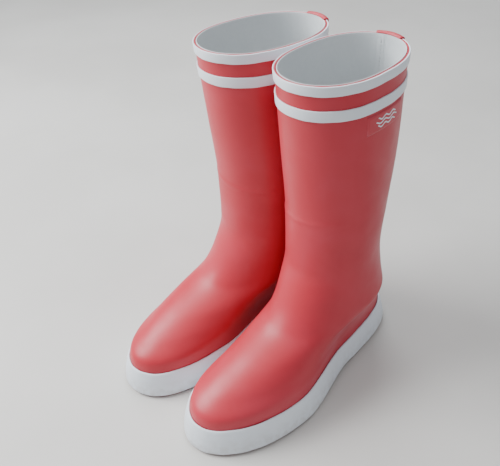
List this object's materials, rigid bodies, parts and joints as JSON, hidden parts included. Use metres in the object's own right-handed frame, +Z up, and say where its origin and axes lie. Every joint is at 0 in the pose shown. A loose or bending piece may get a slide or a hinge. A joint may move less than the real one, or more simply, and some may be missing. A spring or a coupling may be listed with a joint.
{
  "type": "pair of deck boots",
  "caption": "Pair of calf-high rubber deck boots with a cotton lining, white bands at the top, a white strip round the sole and a grooved non-slip tread.",
  "frame": {"origin": "floor level, under the middle of the box round the standing pair", "axes": "+Z up, toes towards -Y, the left boot on +X and the right boot on -X as the wearer would step into them from behind"},
  "size_m": [0.2224, 0.3036, 0.356],
  "materials": {
    "red_rubber": "satin natural rubber with a soft bloom",
    "tread_rubber": "matt moulded rubber with wavy grooves",
    "white_rubber": "satin white rubber with soft pressed edges",
    "core_rubber": "matt foamed rubber",
    "stiffener_canvas": "rubber-proofed canvas",
    "cotton": "plain cotton jersey",
    "felt": "pressed felt",
    "fibre_board": "matt cellulose board"
  },
  "bodies": {
    "left_boot": {"left_outsole": "tread_rubber", "left_heel_core": "core_rubber", "left_insole_board": "fibre_board", "left_footbed": "felt", "left_lining": "cotton", "left_toe_puff": "stiffener_canvas", "left_instep_patch": "stiffener_canvas", "left_heel_counter": "stiffener_canvas", "left_vamp": "red_rubber", "left_leg": "red_rubber", "left_welt": "red_rubber", "left_foxing": "white_rubber", "left_top_band": "white_rubber", "left_lower_band": "white_rubber", "left_pull_tab": "red_rubber", "left_label": "red_rubber"},
    "right_boot": {"right_outsole": "tread_rubber", "right_heel_core": "core_rubber", "right_insole_board": "fibre_board", "right_footbed": "felt", "right_lining": "cotton", "right_toe_puff": "stiffener_canvas", "right_instep_patch": "stiffener_canvas", "right_heel_counter": "stiffener_canvas", "right_vamp": "red_rubber", "right_leg": "red_rubber", "right_welt": "red_rubber", "right_foxing": "white_rubber", "right_top_band": "white_rubber", "right_lower_band": "white_rubber", "right_pull_tab": "red_rubber", "right_label": "red_rubber"}
  },
  "joints": [
    {"name": "right_boot_lift", "type": "slide", "parent": "left_boot", "child": "right_boot", "axis": [0, 0, 1], "range_m": [0, 0.35]}
  ]
}
